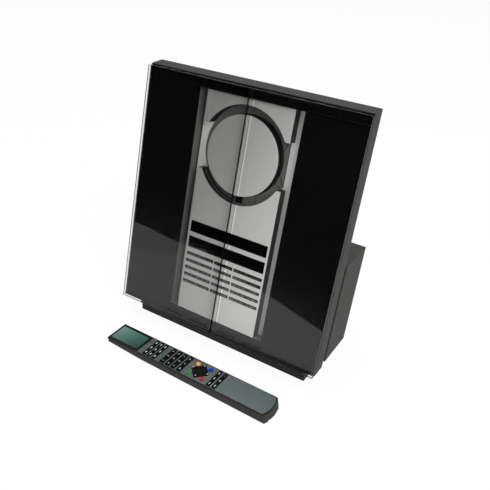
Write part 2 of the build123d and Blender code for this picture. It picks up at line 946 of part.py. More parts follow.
def pad_outline(margin):
    """Four-pointed pad with hollow sides."""
    reach = pad_reach + margin * 1.4
    waist = pad_waist + margin
    middle = remote_width / 2
    points = [(pad_centre + reach * cos(k * pi / 2), middle + reach * sin(k * pi / 2))
              for k in range(4)]
    edges = []
    for k in range(4):
        angle = (k + 0.5) * pi / 2
        hollow = (pad_centre + waist * 1.2 * cos(angle), middle + waist * 1.2 * sin(angle))
        edges.append(ThreePointArc(points[k], hollow, points[(k + 1) % 4]).edge())
    return make_face(edges)


def colour_outline(number, margin):
    """One tongue-shaped key in a hollow of the pad."""
    length = colour_reach - colour_start
    tongue = SlotOverall(length + 2 * margin, 2 * (colour_half + margin), rotation=45 + 90 * number)
    angle = (number + 0.5) * pi / 2
    out = (colour_reach + colour_start) / 2
    return Pos(pad_centre + out * cos(angle), remote_width / 2 + out * sin(angle)) * tongue


def remote_plate():
    """Grey top plate, cut out for the screen, key rows, pad and colour keys."""
    plan = remote_plan(remote_rim + 0.1, 0) - area(-5, screen_end, -5, remote_width + 5)
    for start, pitch, width, rows in remote_key_blocks():
        plan -= remote_rows(start, pitch, width, rows, 0)
    plan -= pad_outline(remote_key_fit)
    for number in range(4):
        plan -= colour_outline(number, remote_key_fit)
    return remote_layer(plan, 0, remote_sheet)


def remote_display():
    """Screen glass at the thin end."""
    plan = area(screen_start, screen_end - 0.1, remote_rim + 0.1, remote_width - remote_rim - 0.1)
    return remote_layer(plan, 0, remote_sheet)


def row_key_plan(start, pitch, width, rows):
    """Keys of one block, three to a row."""
    low = remote_rim + key_band_margin + remote_key_fit
    span = (remote_width - 2 * low - (row_keys - 1) * remote_key_gap) / row_keys
    keys = Sketch()
    for row in range(rows):
        s = start + row * pitch + remote_key_fit
        for number in range(row_keys):
            t = low + number * (span + remote_key_gap)
            keys += area(s, s + width - 2 * remote_key_fit, t, t + span)
    return keys


def key_mat(keys, web):
    """Keys standing through the plate on one web behind it."""
    under = remote_sheet + mat_gap
    return (remote_layer(keys, -remote_key_proud, under + 0.1)
            + remote_layer(web, under, under + mat_thickness))


def block_mat(start, pitch, width, rows):
    """Rubber mat of one key block."""
    low = remote_rim + remote_ledge + 0.3
    web = area(start, start + (rows - 1) * pitch + width, low, remote_width - low)
    return key_mat(row_key_plan(start, pitch, width, rows), web)


def remote_pad():
    """Pad for moving the cursor."""
    return key_mat(pad_outline(0), Pos(pad_centre, remote_width / 2) * Circle(colour_start - 0.5))


def remote_colour_keys():
    """Four coloured keys round the pad."""
    return [remote_layer(colour_outline(number, 0), -remote_key_proud, remote_sheet + mat_gap)
            for number in range(4)]


def remote_board():
    """Board under the screen and keys."""
    low = remote_rim + remote_ledge + 0.2
    top = remote_sheet + mat_gap + mat_thickness + remote_key_travel + 0.1
    return remote_layer(area(5, battery_door_start - 5, low, remote_width - low), top, top + 1.2)


def remote_batteries():
    """Two cells lying side by side behind the battery door."""
    rise = battery_door_thickness + 2 * battery_door_gap + battery_radius
    return [Pos(battery_middle, remote_width / 2 + side * (battery_radius + 0.3), rise)
            * Rot(0, 90, 0) * Cylinder(battery_radius, battery_length) for side in (-1, 1)]


def remote_battery_door():
    """Sliding door in the remote's floor."""
    middle = remote_width / 2
    length = battery_door_length + battery_door_overhang
    start = battery_door_start + battery_door_gap
    return Pos(start + length / 2, middle, battery_door_gap + battery_door_thickness / 2) * Box(
        length, 2 * battery_door_half, battery_door_thickness)


def save(name, shape):
    """Write one piece, or a group of like pieces, under its name."""
    group = shape if isinstance(shape, list) else [shape]
    solids = [solid for member in group for solid in member.solids()]
    export_step(solids[0] if len(solids) == 1 else Compound(children=solids),
                os.path.join("parts", name + ".step"))


def save_on_slope(name, shape):
    """Write a piece that is drawn in the slope's axes."""
    group = shape if isinstance(shape, list) else [shape]
    save(name, [on_slope(member) for member in group])


os.makedirs("parts", exist_ok=True)
save("base_frame", base_frame())
save("rubber_feet", rubber_feet())
save("rear_cover", rear_cover())
save_on_slope("rear_sockets", rear_sockets())
save("mains_transformer", mains_transformer())
save("main_board", main_board())
save("heat_sink", heat_sink())
save("body_shell", body_shell())
save("top_cap", top_cap())
save_on_slope("fascia", fascia())
save_on_slope("channel_plate", channel_plate())
save_on_slope("upper_carrier", carrier(upper_outline()))
save_on_slope("upper_panel", sheet(upper_outline(), front_w, panel_back))
save_on_slope("lower_carrier", lower_carrier())
save_on_slope("lower_panel", lower_panel())
save_on_slope("display_windows", display_windows())
save_on_slope("control_board", control_board())
save_on_slope("disc_platform", disc_platform())
save_on_slope("drive_chassis", drive_chassis())
save_on_slope("suspension_bushes", suspension_bushes())
save_on_slope("spindle_motor", spindle_motor())
save_on_slope("guide_rods", guide_rods())
save_on_slope("sled_motor", sled_motor())
save_on_slope("door_motor", door_motor())
save_on_slope("left_glass", glass_door(-1))
save_on_slope("left_runners", door_runners(-1))
save_on_slope("right_glass", glass_door(1))
save_on_slope("right_runners", door_runners(1))
save_on_slope("drive_pinion", drive_pinion())
save_on_slope("lid_face", lid_face())
save_on_slope("lid_body", lid_body())
save_on_slope("turntable", turntable())
save_on_slope("laser_sled", laser_sled())
save_on_slope("sled_screw", sled_screw())
for row in range(key_rows):
    for name, left, right in key_spans():
        save_on_slope(f"{name}_key_{row + 1}", key(left, right, key_row_low(row)))
save("remote_case", remote_place(remote_case()))
save("remote_plate", remote_place(remote_plate()))
save("remote_display", remote_place(remote_display()))
save("remote_board", remote_place(remote_board()))
save("remote_batteries", [remote_place(cell) for cell in remote_batteries()])
save("remote_battery_door", remote_place(remote_battery_door()))
for name, block in zip(("upper", "lower", "base"), remote_key_blocks()):
    save(f"remote_{name}_keys", remote_place(block_mat(*block)))
save("remote_pad", remote_place(remote_pad()))
save("remote_colour_keys", [remote_place(piece) for piece in remote_colour_keys()])
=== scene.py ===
from math import cos, pi, radians, sin

import bpy
import numpy as np
from mathutils import Matrix, Vector


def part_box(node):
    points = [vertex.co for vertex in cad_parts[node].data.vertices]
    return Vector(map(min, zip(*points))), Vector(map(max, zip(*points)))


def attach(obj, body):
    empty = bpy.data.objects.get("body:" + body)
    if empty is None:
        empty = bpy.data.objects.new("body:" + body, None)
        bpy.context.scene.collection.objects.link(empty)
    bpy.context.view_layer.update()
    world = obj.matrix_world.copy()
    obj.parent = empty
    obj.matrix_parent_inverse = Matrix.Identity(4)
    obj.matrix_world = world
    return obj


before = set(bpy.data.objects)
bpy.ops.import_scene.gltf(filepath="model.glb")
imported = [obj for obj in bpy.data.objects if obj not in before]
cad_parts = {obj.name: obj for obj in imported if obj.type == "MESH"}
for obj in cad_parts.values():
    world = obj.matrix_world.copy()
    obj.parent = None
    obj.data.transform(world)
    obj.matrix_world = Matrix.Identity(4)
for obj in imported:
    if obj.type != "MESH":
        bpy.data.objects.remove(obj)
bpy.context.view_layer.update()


# The camera. It stands in front of the player, to its right and above it, looks down at it, and
# is turned a little about its own line of sight.
camera_place = Vector((0.38837, -0.61738, 0.59643))
camera_yaw, camera_pitch, camera_roll = 0.5353, 0.5443, 0.0495
camera_focus, photo_side, sensor_side = 623.75, 490, 36.0

ahead = Vector((-sin(camera_yaw) * cos(camera_pitch), cos(camera_yaw) * cos(camera_pitch),
                -sin(camera_pitch)))
level = Vector((cos(camera_yaw), sin(camera_yaw), 0))
upward = level.cross(ahead)
right = level * cos(camera_roll) + upward * sin(camera_roll)
top = upward * cos(camera_roll) - level * sin(camera_roll)
camera = bpy.data.objects.new("camera", bpy.data.cameras.new("camera"))
camera.data.sensor_width = sensor_side
camera.data.lens = camera_focus / photo_side * sensor_side
camera.matrix_world = Matrix.Translation(camera_place) @ Matrix(
    (right, top, -ahead)).transposed().to_4x4()
bpy.context.scene.collection.objects.link(camera)
bpy.context.scene.camera = camera
bpy.context.scene.view_settings.view_transform = "Standard"


# The room. A white table and white surroundings, two softboxes, and black studio cards in front
# that only mirrors see: they make the upper glass read black and leave the table in the lower.
class Wire:
    """One socket of a material's nodes. Arithmetic on wires adds Math nodes."""

    def __init__(self, tree, socket=None):
        self.tree, self.socket = tree, socket

    def add(self, kind, settings, values, output=0):
        """New node: first its settings, then the values or wires of its sockets."""
        node = self.tree.nodes.new("ShaderNode" + kind)
        for name, value in settings.items():
            if name != "stops":
                setattr(node, name, value)
                continue
            stops = node.color_ramp.elements
            stops.remove(stops[1])
            stops[0].position, stops[0].color = value[0][0], (*value[0][1], 1)
            for place, colour in value[1:]:
                stops.new(place).color = (*colour, 1)
        for name, value in values.items():
            if isinstance(value, Wire):
                self.tree.links.new(value.socket, node.inputs[name])
            else:
                node.inputs[name].default_value = value
        return Wire(self.tree, node.outputs[output])

    def math(self, operation, first, second=0.0):
        """Math node of two numbers or wires."""
        return self.add("Math", {"operation": operation}, {0: first, 1: second})

    def __add__(self, other):
        return self.math("ADD", self, other)

    def __radd__(self, other):
        return self.math("ADD", other, self)

    def __sub__(self, other):
        return self.math("SUBTRACT", self, other)

    def __rsub__(self, other):
        return self.math("SUBTRACT", other, self)

    def __mul__(self, other):
        return self.math("MULTIPLY", self, other)

    def __rmul__(self, other):
        return self.math("MULTIPLY", other, self)

    def above(self, limit):
        """1 where the wire is over a limit, or else 0."""
        return self.math("GREATER_THAN", self, limit)

    def below(self, limit):
        """1 where the wire is under a limit, or else 0."""
        return self.math("LESS_THAN", self, limit)

    def size(self):
        """The wire without its sign."""
        return self.math("ABSOLUTE", self)


def linear(red, green, blue):
    """Colour for a shader from the 0 to 255 numbers of a screen: the screen's curve undone."""
    share = np.array((red, green, blue)) / 255
    straight = np.where(share < 0.0405, share / 12.92, ((share + 0.055) / 1.055) ** 2.4)
    return (*(float(part) for part in straight), 1.0)


room = bpy.data.worlds.new("room")
bpy.context.scene.world = room
room.use_nodes = True
air = Wire(room.node_tree)
seen = (air.add("LightPath", {}, {}, "Is Camera Ray")
        + air.add("LightPath", {}, {}, "Is Transmission Ray")).above(0.5)
mirrored = air.add("LightPath", {}, {}, "Glossy Depth").above(0.5)
room_light, room_white, room_mirrored = 0.5, 1.0, 0.3
direct = room_light + (room_white - room_light) * seen
sky = room.node_tree.nodes["Background"]
sky.inputs["Color"].default_value = (1, 1, 1, 1)
room.node_tree.links.new((direct + mirrored * (room_mirrored - direct)).socket,
                         sky.inputs["Strength"])


def stage_sheet(name, corners, material):
    """Flat or folded sheet: a strip of corners, one pair to each fold, joined into faces."""
    strip = np.array(corners, float).reshape(-1, 2, 3)
    count = len(strip)
    low = np.arange(count - 1) * 2
    faces = np.stack([low, low + 2, low + 3, low + 1], 1)
    mesh = bpy.data.meshes.new(name)
    mesh.from_pydata(strip.reshape(-1, 3).tolist(), [], faces.tolist())
    sheet = bpy.data.objects.new(name, mesh)
    sheet.data.materials.append(material)
    bpy.context.scene.collection.objects.link(sheet)
    return sheet


def surface(wire):
    """Make a wire the surface of its own material."""
    wire.tree.links.new(wire.socket, wire.tree.nodes["Material Output"].inputs[0])


table_paint = bpy.data.materials.new("table_paint")
table_paint.use_nodes = True
table = Wire(table_paint.node_tree)
plain = table.add("LightPath", {}, {}, "Is Camera Ray") + table.add(
    "LightPath", {}, {}, "Is Transmission Ray")
mirrored = table.add("LightPath", {}, {}, "Glossy Depth").above(0.5)
grain = table.add("TexNoise", {}, {"Scale": 8.0, "Detail": 3.0}, "Fac")
pale = table.add("MixRGB", {}, {"Fac": grain, "Color1": (0.84, 0.84, 0.84, 1),
                                "Color2": (0.88, 0.88, 0.88, 1)})
lit = table.add("BsdfDiffuse", {}, {"Color": pale})
table_white, table_mirrored, shadow_share, table_reach = 1.02, 0.5, 0.9, 6.0
strength = table_white - mirrored * (table_white - table_mirrored)
glow = table.add("Emission", {}, {"Color": (1, 1, 1, 1), "Strength": strength})
share = table.math("MAXIMUM", plain * shadow_share, mirrored)
surface(table.add("MixShader", {}, {0: share, 1: lit, 2: glow}))
stage_sheet("table", [(x, y, 0) for y in (-table_reach, table_reach)
                      for x in (-table_reach, table_reach)], table_paint)


def card(name, grey, foot, heights):
    """Standing studio card over a line on the table, seen only by way of a mirror."""
    paint = bpy.data.materials.new(name + "_paint")
    paint.use_nodes = True
    tree = Wire(paint.node_tree)
    mirrored = tree.add("LightPath", {}, {}, "Glossy Depth").above(0.5)
    clear = tree.add("BsdfTransparent", {}, {})
    shown = tree.add("Emission", {}, {"Color": (grey, grey, grey, 1)})
    surface(tree.add("MixShader", {}, {0: mirrored, 1: clear, 2: shown}))
    corners = [((x, y, 0), (x, y, height)) for (x, y), height in zip(foot, heights)]
    made = stage_sheet(name, corners, paint)
    made.visible_camera = made.visible_diffuse = made.visible_shadow = False


card("black_card", 0.0, [(-2.6, -0.95), (-0.72, -0.84), (-0.55, -0.776), (-0.141, -0.561),
                         (0.035, -0.439), (0.9, 0.35)], [1.3] * 6)
card("grey_card", 0.42, [(-0.9, -0.25), (-0.502, -0.5), (-0.434, -0.609), (-0.40, -0.68)],
     [0.07, 0.054, 0.034, 0.025])


def softbox(name, place, aim, side, power):
    """Square area lamp that faces a point."""
    lamp = bpy.data.objects.new(name, bpy.data.lights.new(name, "AREA"))
    lamp.data.shape, lamp.data.size, lamp.data.energy = "SQUARE", side, power
    facing = (Vector(aim) - Vector(place)).to_track_quat("-Z", "Y")
    lamp.matrix_world = Matrix.Translation(place) @ facing.to_matrix().to_4x4()
    bpy.context.scene.collection.objects.link(lamp)


softbox("right_softbox", (1.5, -0.9, 1.5), (0, 0, 0.15), 1.4, 34)
softbox("top_softbox", (-0.4, 0.3, 2.1), (0, 0, 0.1), 1.6, 16)


# The black base: a moulded plinth under the slab, its neck and floor. The moulding has a fine
# even grain and a low sheen.
def finish(name, plain):
    """New material with plain values on its shader, and the place on the piece as a wire."""
    made = bpy.data.materials.new(name)
    made.use_nodes = True
    shader = made.node_tree.nodes["Principled BSDF"]
    for socket, value in plain.items():
        shader.inputs[socket].default_value = value
    return made, Wire(made.node_tree).add("TexCoord", {}, {}, "Object")


def feed(made, wires):
    """Lead wires into the shader of a material."""
    shader = made.node_tree.nodes["Principled BSDF"]
    for socket, wire in wires.items():
        made.node_tree.links.new(wire.socket, shader.inputs[socket])


def between(factor, first, second):
    """Mix of two colours by a wire."""
    return factor.add("MixRGB", {}, {"Fac": factor, "Color1": first, "Color2": second})


def noise(place, scale, detail=2.0, stretch=(1, 1, 1), turn=(0, 0, 0)):
    """Noise over the piece, drawn out where a stretch is under 1."""
    moved = place.add("Mapping", {}, {"Vector": place, "Scale": stretch, "Rotation": turn})
    return place.add("TexNoise", {}, {"Vector": moved, "Scale": scale, "Detail": detail}, "Fac")


def bump(height, strength, distance):
    """Normal from a height wire."""
    return height.add("Bump", {}, {"Height": height, "Strength": strength, "Distance": distance},
                      "Normal")


def moulded(name, dark, light, rough, grain_scale=1500.0, grain_depth=0.00004, shine=0.5):
    """Moulded plastic: two near colours in soft patches, spark-eroded grain, uneven sheen."""
    made, place = finish(name, {"Specular IOR Level": shine})
    patches = noise(place, 35.0, 4.0)
    grain = noise(place, grain_scale, 2.0)
    feed(made, {"Base Color": between(patches, dark, light),
                "Roughness": rough - 0.06 + patches * 0.08 + grain * 0.04,
                "Normal": bump(grain, 0.35, grain_depth)})
    return made


def coat(made, *names):
    """Give CAD nodes a finish."""
    for name in names:
        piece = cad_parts[name]
        if not piece.material_slots:
            piece.data.materials.append(made)
        for slot in piece.material_slots:
            slot.material = made


base_plastic = moulded("base_plastic", linear(15, 15, 15), linear(21, 21, 21), 0.42, shine=0.35)
coat(base_plastic, "base_frame")


# Four square pads of matt black rubber, glued under the base so that the player stands still on
# a smooth table.
pad_rubber = moulded("pad_rubber", linear(24, 24, 24), linear(38, 38, 37), 0.85, 900.0, 0.0001,
                     0.3)
coat(pad_rubber, "rubber_feet")


# The rear cover, the slab's shell and its top strip: pressed metal with a dark grey structured
# paint. The paint's tiny craters catch the light.
def painted(name, dark, light, rough):
    """Structured paint: fine craters from a cell pattern over a soft cloud of tone."""
    made, place = finish(name, {"Specular IOR Level": 0.3})
    cells = place.add("TexVoronoi", {"feature": "SMOOTH_F1"},
                      {"Vector": place, "Scale": 1100.0}, "Distance")
    cloud = noise(place, 22.0, 5.0)
    feed(made, {"Base Color": between(cloud * 0.7 + cells * 0.3, dark, light),
                "Roughness": rough + cells * 0.12 - cloud * 0.05,
                "Normal": bump(cells, 0.5, 0.00008)})
    return made


shell_paint = painted("shell_paint", linear(56, 56, 55), linear(68, 68, 66), 0.5)
coat(shell_paint, "body_shell", "top_cap", "rear_cover")


# The socket plate: a black moulding with three round link sockets and the mains inlet. It fills
# an opening in the rear cover from behind.
socket_plastic = moulded("socket_plastic", linear(22, 22, 23), linear(32, 32, 33), 0.38)
coat(socket_plastic, "rear_sockets")


# The mains transformer: a stack of varnished iron sheets round a copper winding in yellow tape.
# It stands on the floor of the base, where its weight steadies the player.
winding_reach = 0.0175
iron, place = finish("iron_and_tape", {})
sheets = place.add("TexWave", {"wave_type": "BANDS", "bands_direction": "Y"},
                   {"Vector": place, "Scale": 320.0, "Distortion": 0.4}, "Fac")
depth = place.add("SeparateXYZ", {}, {0: place}, 1)
middle = sum(corner[1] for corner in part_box("mains_transformer")) / 2
taped = (depth - middle).size().above(winding_reach)
feed(iron, {"Base Color": between(taped, between(sheets, linear(70, 64, 60), linear(110, 102, 96)),
                                  linear(196, 164, 60)),
            "Roughness": 0.45 + sheets * 0.15,
            "Metallic": 0.8 - taped * 0.8,
            "Normal": bump(sheets, 0.4, 0.0001)})
coat(iron, "mains_transformer")


# The circuit boards of the amplifier, the keys and the remote control: green lacquer over copper
# tracks on glass cloth, with bright spots of solder.
def board_finish(name, lacquer, track):
    """Circuit board: a brick pattern of tracks under lacquer, and bright solder dots."""
    made, place = finish(name, {"Specular IOR Level": 0.5})
    tracks = place.add("TexBrick", {}, {"Vector": place, "Scale": 90.0, "Mortar Size": 0.03}, "Fac")
    dots = place.add("TexVoronoi", {}, {"Vector": place, "Scale": 260.0}, "Distance").below(0.18)
    feed(made, {"Base Color": between(dots, between(tracks, lacquer, track), linear(190, 190, 186)),
                "Roughness": 0.38 - dots * 0.12, "Metallic": dots * 0.8,
                "Normal": bump(tracks + dots, 0.3, 0.00006)})
    return made


board_green = board_finish("board_green", linear(20, 78, 44), linear(44, 110, 66))
coat(board_green, "main_board", "control_board", "remote_board")


# The heat sink: a finned extrusion in plain aluminium with fine draw lines along its fins. It
# stands on the amplifier board and cools its output stage.
def metal(name, colour, rough, stretch, scale=700.0, depth=0.00002, darker=0.82):
    """Worked metal: streaks drawn out along the working direction, in tone, sheen and relief."""
    made, place = finish(name, {"Metallic": 1.0})
    streaks = noise(place, scale, 3.0, stretch)
    cloud = noise(place, 9.0, 3.0)
    dim = tuple(part * darker for part in colour[:3]) + (1.0,)
    feed(made, {"Base Color": between(streaks * 0.6 + cloud * 0.4, dim, colour),
                "Roughness": rough - 0.07 + streaks * 0.12 + cloud * 0.03,
                "Normal": bump(streaks, 0.25, depth)})
    return made


drawn_aluminium = metal("drawn_aluminium", (0.80, 0.81, 0.82, 1), 0.34, (1, 0.03, 1))
coat(drawn_aluminium, "heat_sink")


# The black front moulding behind the glass doors, with its lip along the top. High gloss black. The
# walls of its opening are coloured a lighter grey: painted light where the lamps fall on them.
lean, slope_foot = radians(13.4), (0, -47.62, 31.15)


def slope_axes(place):
    """Wires for the distance across the slope, along it and out of the glass front, in metres."""
    moved = place.add("VectorMath", {"operation": "SUBTRACT"},
                      {0: place, 1: tuple(part / 1000 for part in slope_foot)})
    turned = place.add("VectorRotate", {"rotation_type": "X_AXIS"},
                       {"Vector": moved, "Angle": lean - pi / 2})
    return [place.add("SeparateXYZ", {}, {0: turned}, axis) for axis in range(3)]


front_plastic, place = finish("front_plastic", {"Specular IOR Level": 0.4})
across, along, out = slope_axes(place)
wall_reach, wall_front = 0.0778, -0.0078
grain = noise(place, 1800.0)
in_wall = across.size().below(wall_reach) * out.below(wall_front)
cloud = noise(place, 30.0, 4.0)
gloss_black = between(cloud, linear(8, 8, 8), linear(13, 13, 13))
# Painted light: the walls of the opening are coloured lighter grey than the black front.
painted_light_wall = between(cloud, linear(92, 92, 90), linear(112, 112, 110))
feed(front_plastic, {"Base Color": between(in_wall, gloss_black, painted_light_wall),
                     "Roughness": 0.2 + grain * 0.06 + in_wall * 0.3,
                     "Normal": bump(grain, 0.3, 0.00001)})
coat(front_plastic, "fascia")


# Seals and joints of the channel and the disc well, between the moulding and the panels: glued felt
# strips along the channel's walls, black as a painted shadow in the corners at their foot; the
# joints of the recess floor; and a bright bead of metal along the lower arc of the well's foot,
# whose pale colour is a painted highlight on that edge.
channel_floor, well_middle, well_wall = -22.7, 256.0, 65.2


def on_slope(points):
    """From millimetres across, up the slope and out of the glass front, to metres in the room."""
    across, along, out = np.moveaxis(np.asarray(points, float), -1, 0)
    return np.stack([slope_foot[0] + across, slope_foot[1] + along * sin(lean) - out * cos(lean),
                     slope_foot[2] + along * cos(lean) + out * sin(lean)], -1) / 1000


def piece(name, corners, faces, made, body, slot):
    """New piece from corners in metres and faces, riding on a body."""
    mesh = bpy.data.meshes.new(name)
    mesh.from_pydata(np.reshape(corners, (-1, 3)).tolist(), [], faces)
    mesh.materials.append(made)
    new = bpy.data.objects.new(name, mesh)
    bpy.context.scene.collection.objects.link(new)
    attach(new, body)
    return new


def bars(name, ends, width, low, high, place, made, body, slot):
    """Flat bars between pairs of points in a plane: each is a box of a width about its line."""
    ends = np.array(ends, float).reshape(-1, 2, 2)
    line = ends[:, 1] - ends[:, 0]
    side = np.stack([-line[:, 1], line[:, 0]], -1) / np.linalg.norm(line, axis=-1, keepdims=True)
    side = side[:, None] * width / 2
    ring = np.concatenate([ends - side, ends[:, ::-1] + side], 1)
    ring = np.concatenate([np.dstack([ring, np.full(ring.shape[:2], height)])
                           for height in (low, high)], 1)
    box = np.array([[3, 2, 1, 0], [4, 5, 6, 7], [0, 1, 5, 4],
                    [1, 2, 6, 5], [2, 3, 7, 6], [3, 0, 4, 7]])
    faces = (box[None] + 8 * np.arange(len(ends))[:, None, None]).reshape(-1, 4)
    return piece(name, place(ring), faces.tolist(), made, body, slot)


def swept_ring(name, radius, out, tube, start, end, steps, made, body, slot):
    """Thin bead round the disc well: a small circle carried along an arc, closed at its ends."""
    turn, sides = np.linspace(radians(start), radians(end), steps)[:, None], 8
    round_bead = np.linspace(0, 2 * pi, sides, endpoint=False)[None]
    reach = radius + tube * np.cos(round_bead)
    points = np.stack([reach * np.cos(turn), well_middle + reach * np.sin(turn),
                       out + tube * np.sin(round_bead) + 0 * turn], -1)
    grid = np.arange(steps * sides).reshape(steps, sides)
    after = np.roll(grid, -1, 1)
    walls = np.stack([grid[:-1], grid[1:], after[1:], after[:-1]], -1).reshape(-1, 4).tolist()
    caps = [grid[0].tolist(), grid[-1][::-1].tolist()]
    return piece(name, on_slope(points), walls + caps, made, body, slot)


def turned(name, middle, facing, profile, sides, made, body, slot):
    """Turned piece on the slope: a profile of radius and height carried round an axis that leaves
    the slope (facing 1) or enters it (facing -1); both ends are closed."""
    turn = np.linspace(0, 2 * pi, sides, endpoint=False)[None] * facing
    radius, height = np.array(profile, float).T[:, :, None]
    across, along, out = middle
    points = np.stack([across + radius * np.cos(turn), along + radius * np.sin(turn),
                       out + facing * height + 0 * turn], -1)
    grid = np.arange(points.shape[0] * sides).reshape(-1, sides)
    after = np.roll(grid, -1, 1)
    walls = np.stack([grid[:-1], after[:-1], after[1:], grid[1:]], -1).reshape(-1, 4).tolist()
    caps = [grid[0][::-1].tolist(), grid[-1].tolist()]
    return piece(name, on_slope(points), walls + caps, made, body, slot)


felt_and_shadow = moulded("felt_and_shadow", linear(8, 8, 8), linear(14, 14, 14), 0.95, 2500.0, 0.0001, 0.1)
# The black felt strips stand for the shadow in the channel's corners: painted shadow.
shadow_felt_sides, shadow_felt_foot, shadow_felt_top, shadow_felt_width, shadow_felt_thick = (-75.6, 75.9), 17.8, 329.2, 1.2, 0.5
bars("channel_shadow_felts", [((side, shadow_felt_foot), (side, shadow_felt_top)) for side in shadow_felt_sides], shadow_felt_width,
     channel_floor, channel_floor + shadow_felt_thick, on_slope, felt_and_shadow, "player", "black_plastic")
joint_width, joint_thick = 0.7, 0.25
joint_lines = [((59.1, 228.5), (59.1, 285.5)), ((55.4, 284.9), (51.9, 273.1)),
               ((57.7, 228.8), (52.7, 242.0)), ((56.9, 225.8), (46.4, 229.7)),
               ((22.7, 194.0), (22.7, 203.5))]
bars("recess_joints", joint_lines, joint_width, channel_floor, channel_floor + joint_thick,
     on_slope, felt_and_shadow, "player", "black_plastic")
# The bead's pale colour is a painted highlight, and it runs only along the lower arc where the
# wall's edge catches the light.
painted_highlight_bead = moulded("painted_highlight_bead", linear(150, 150, 150), linear(175, 175, 175), 0.25, 900.0,
                      0.00001)
bead_radius, bead_out, bead_tube = 65.0, -16.4, 0.3
swept_ring("well_bead", bead_radius, bead_out, bead_tube, 209.5, 330.5, 90, painted_highlight_bead,
           "player", "aluminium")


# Six pan-head screws hold the rear cover, and a small round window for the status lamp sits behind
# the right door. The laser unit looks through its slot with a small lens.
screw_steel = metal("screw_steel", (0.30, 0.30, 0.31, 1), 0.35, (1, 1, 1), 900.0)
cover_face, screw_across, screw_rows = -140.1, 140, (10, 75, 142)
screw_head = [(3.6, 0), (3.6, 0.5), (3.0, 1.3), (1.9, 1.7), (1.9, 0.9), (0.4, 0.8)]
for side in (-1, 1):
    for row, along in enumerate(screw_rows):
        turned(f"cover_screw_{row * 2 + (side + 1) // 2}",
               (side * screw_across, along, cover_face - 0.02), -1, screw_head, 28, screw_steel,
               "player", "dark_paint")
lamp_window = moulded("lamp_window", linear(40, 16, 16), linear(52, 20, 20), 0.15, 900.0, 0.00001)
window_round = [(1.0, 0), (1.0, 0.1), (0.7, 0.25), (0.1, 0.3)]
turned("status_window", (149.8, 336.3, -7.48), 1, window_round, 20, lamp_window, "player",
       "black_plastic")
lens_glass = moulded("lens_glass", linear(30, 36, 70), linear(60, 50, 96), 0.05, 600.0, 0.000005,
                     0.8)
lens_round = [(2.3, -0.5), (2.3, 0), (1.9, 0.45), (1.1, 0.8), (0.2, 0.95)]
turned("laser_lens", (0, 231, -16.4), 1, lens_round, 24, lens_glass, "laser", "sled_plastic")


# The channel floor: a folded sheet of silver-grey aluminium, rolled lengthways. Inside the disc
# well, and beside it in the right recess, it is coloured a dark grey: painted shade where the walls
# and the lid keep the light off it.
recess_near, recess_far, recess_half = 0.0525, 0.0591, 0.0285
channel_metal, place = finish("channel_metal", {})
across, along, out = slope_axes(place)
from_middle = along - well_middle / 1000
in_well = ((across * across + from_middle * from_middle).below((well_wall / 1000) ** 2)
           * across.below(recess_far))
by_recess = (across.above(recess_near) * across.below(recess_far)
             * from_middle.size().below(recess_half))
# Painted shade: the floor turns grey inside the well and in the recess beside the lid.
painted_shade_zone = place.math("MAXIMUM", in_well, by_recess)
streaks = noise(place, 500.0, 3.0, (1, 0.04, 0.04))
silver = between(streaks, (0.88, 0.885, 0.88, 1), (0.96, 0.965, 0.96, 1))
grey = between(streaks, linear(108, 108, 107), linear(122, 122, 121))
feed(channel_metal, {"Base Color": between(painted_shade_zone, silver, grey),
                     "Metallic": 0.1 - painted_shade_zone * 0.08,
                     "Roughness": 0.4 + streaks * 0.1, "Normal": bump(streaks, 0.25, 0.00002)})
coat(channel_metal, "channel_plate")


# The two panel blocks: black carriers with anodised aluminium fronts, brushed up the slope, and a
# lid of the same sheet over the disc. Their colour is darker at the upper left and lighter at the
# lower right: painted light falling across the metal. Just right of the seam lie a painted bright
# line and a painted dark one: the light that the right pane's edge bends onto the metal, and that
# edge's shadow.
carrier_plastic = moulded("carrier_plastic", linear(20, 20, 20), linear(28, 28, 28), 0.35)
coat(carrier_plastic, "upper_carrier", "lower_carrier", "lid_body")
panel_metal, place = finish("panel_metal", {"Metallic": 0.2})
across, along, out = slope_axes(place)
streaks = noise(place, 1500.0, 3.0, (1, 0.02, 0.02))
# A painted highlight line and a painted shadow line beside the seam, multiplied into the metal's
# colour.
painted_highlight_line, painted_shadow_line = (0.0043, 0.001), (0.0026, 0.0005)
painted_seam_light = ((across - painted_highlight_line[0]).size().below(painted_highlight_line[1]) * 0.62
          - (across - painted_shadow_line[0]).size().below(painted_shadow_line[1]) * 0.5)
# Painted light: the metal's colour lightens to the right and darkens up the slope.
slope_middle, painted_light_rise, painted_light_drop = 0.17, 3.6, 2.2
painted_light_fall = 0.5 + across * painted_light_rise - (along - slope_middle) * painted_light_drop
painted_light_ramp = place.add("ValToRGB", {"stops": [
    (0.0, (0.355, 0.357, 0.355)), (0.3, (0.465, 0.468, 0.465)), (0.6, (0.66, 0.665, 0.66)),
    (0.9, (0.8, 0.805, 0.8))]}, {"Fac": painted_light_fall})
brushed_painted_light = between(streaks * 0.12, painted_light_ramp, (0.3, 0.3, 0.3, 1))
tone = place.add("MixRGB", {"blend_type": "MULTIPLY"},
                 {"Fac": 1.0, "Color1": brushed_painted_light, "Color2": 1.0 + painted_seam_light})
feed(panel_metal, {"Base Color": tone,
                   "Roughness": 0.36 + streaks * 0.12, "Normal": bump(streaks, 0.25, 0.00001)})
coat(panel_metal, "upper_panel", "lower_panel", "lid_face")


# The two display windows: strips of smoked acrylic let into the lower panel. They look black
# until the displays behind them light.
smoke = moulded("smoke", linear(4, 4, 4), linear(7, 7, 7), 0.10, 300.0, 0.000002)
coat(smoke, "display_windows")


